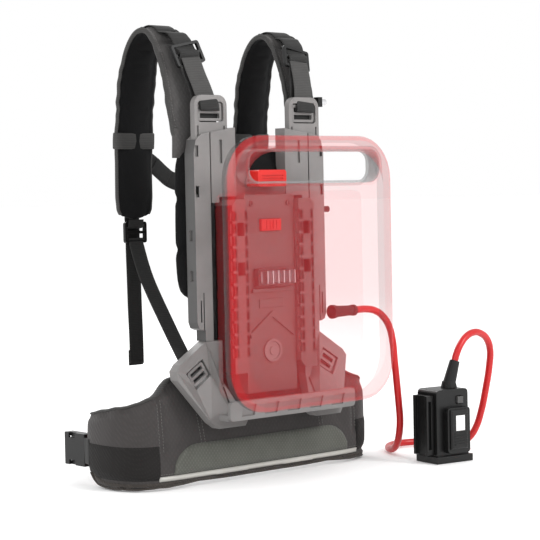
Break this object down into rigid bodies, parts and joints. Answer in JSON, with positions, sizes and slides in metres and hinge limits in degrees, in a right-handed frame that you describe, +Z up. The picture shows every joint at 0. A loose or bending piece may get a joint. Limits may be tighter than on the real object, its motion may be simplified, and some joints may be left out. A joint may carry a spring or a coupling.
{
  "type": "backpack battery harness",
  "caption": "Backpack carrier frame with padded shoulder straps and hip belt, a lift-off see-through battery, and a power cable with a tool adapter.",
  "frame": {"origin": "middle of the footprint, on the floor under the hip belt", "axes": "+X to the right as seen from the battery side, +Y towards the wearer, +Z up"},
  "size_m": [0.6148, 0.3045, 0.6304],
  "materials": {
    "frame_plastic": "grey glass-filled nylon, fine grain",
    "dark_plastic": "dark grey plastic",
    "black_plastic": "black plastic, satin",
    "black_rubber": "black rubber",
    "steel": "zinc plated",
    "padded_fabric": "woven polyester over foam",
    "webbing": "ribbed polypropylene webbing",
    "red_plastic": "red, semi gloss",
    "battery_shell": "see-through red shell with grey edge bands",
    "cell_can": "wrapped cell cans",
    "circuit_board": "solder mask",
    "cable_jacket": "red rubber jacket"
  },
  "bodies": {
    "root": {"left_rail": "frame_plastic", "right_rail": "frame_plastic", "left_dock_channel": "frame_plastic", "right_dock_channel": "frame_plastic", "left_foot_strut": "frame_plastic", "right_foot_strut": "frame_plastic", "dock_panel": "frame_plastic", "battery_shelf": "frame_plastic", "left_dock_screw": "steel", "right_dock_screw": "steel", "back_pad": "padded_fabric", "side_peg": "black_plastic", "terminal_housing": "dark_plastic", "terminal_blades": "steel", "cable_ring_boss": "frame_plastic", "left_lower_webbing": "webbing", "right_lower_webbing": "webbing", "belt_centre_pad": "padded_fabric", "left_belt_wing": "padded_fabric", "right_belt_wing": "padded_fabric", "left_belt_buckle_socket": "black_plastic", "right_belt_buckle_plug": "black_plastic", "cable_strain_relief": "black_rubber", "adapter_housing": "black_plastic", "adapter_rail_block": "black_plastic", "adapter_cover": "black_plastic", "adapter_strain_relief": "black_rubber", "power_cable": "cable_jacket"},
    "battery": {"battery_front_shell": "battery_shell", "battery_rear_shell": "battery_shell", "battery_grip_sleeve": "dark_plastic", "battery_socket": "black_plastic", "cell_pack": "cell_can", "battery_board": "circuit_board"},
    "latch": {"battery_latch": "red_plastic"},
    "lock": {"lock_button": "red_plastic"},
    "catch": {"adapter_catch": "dark_plastic"},
    "left_slider": {"left_strap_slider": "frame_plastic", "left_shoulder_strap": "padded_fabric", "left_lifter_webbing": "webbing", "left_lifter_buckle": "black_plastic", "left_strap_end_buckle": "black_plastic", "left_webbing_tail": "webbing", "left_chest_webbing": "webbing", "chest_buckle_socket": "black_plastic"},
    "right_slider": {"right_strap_slider": "frame_plastic", "right_shoulder_strap": "padded_fabric", "right_lifter_webbing": "webbing", "right_lifter_buckle": "black_plastic", "right_strap_end_buckle": "black_plastic", "right_webbing_tail": "webbing", "right_chest_webbing": "webbing", "chest_buckle_plug": "black_plastic", "strap_clip": "black_plastic", "clip_pin": "steel"},
    "left_slider_lock": {"left_slider_buckle": "frame_plastic"},
    "right_slider_lock": {"right_slider_buckle": "frame_plastic"},
    "left_bracket_lock": {"left_bracket_buckle": "frame_plastic"},
    "right_bracket_lock": {"right_bracket_buckle": "frame_plastic"}
  },
  "joints": [
    {"name": "battery_lift", "type": "slide", "parent": "root", "child": "battery", "axis": [0, 0, 1], "range_m": [0, 0.15]},
    {"name": "latch_press", "type": "slide", "parent": "root", "child": "latch", "axis": [0, 0, -1], "range_m": [0, 0.005], "stiffness_N_per_m": 700},
    {"name": "lock_press", "type": "slide", "parent": "root", "child": "lock", "axis": [0, 1, 0], "range_m": [0, 0.003], "stiffness_N_per_m": 400},
    {"name": "catch_press", "type": "slide", "parent": "root", "child": "catch", "axis": [0.1392, 0.9903, 0], "range_m": [0, 0.003], "stiffness_N_per_m": 300},
    {"name": "left_strap_height", "type": "slide", "parent": "root", "child": "left_slider", "axis": [0, 0, 1], "range_m": [0, 0.06]},
    {"name": "right_strap_height", "type": "slide", "parent": "root", "child": "right_slider", "axis": [0, 0, 1], "range_m": [0, 0.06]},
    {"name": "left_slider_buckle_tilt", "type": "hinge", "parent": "left_slider", "child": "left_slider_lock", "pos_m": [-0.0855, -0.0245, 0.4975], "axis": [1, 0, 0], "range_deg": [0, 35]},
    {"name": "right_slider_buckle_tilt", "type": "hinge", "parent": "right_slider", "child": "right_slider_lock", "pos_m": [0.0855, -0.0245, 0.4975], "axis": [1, 0, 0], "range_deg": [0, 35]},
    {"name": "left_bracket_buckle_tilt", "type": "hinge", "parent": "root", "child": "left_bracket_lock", "pos_m": [-0.11397, -0.028, 0.14394], "axis": [0.848, 0, 0.5299], "range_deg": [0, 30]},
    {"name": "right_bracket_buckle_tilt", "type": "hinge", "parent": "root", "child": "right_bracket_lock", "pos_m": [0.11397, -0.028, 0.14394], "axis": [0.848, 0, -0.5299], "range_deg": [0, 30]}
  ],
  "couplings": [
    {"joint": "right_strap_height", "follows": "left_strap_height", "ratio": 1}
  ]
}
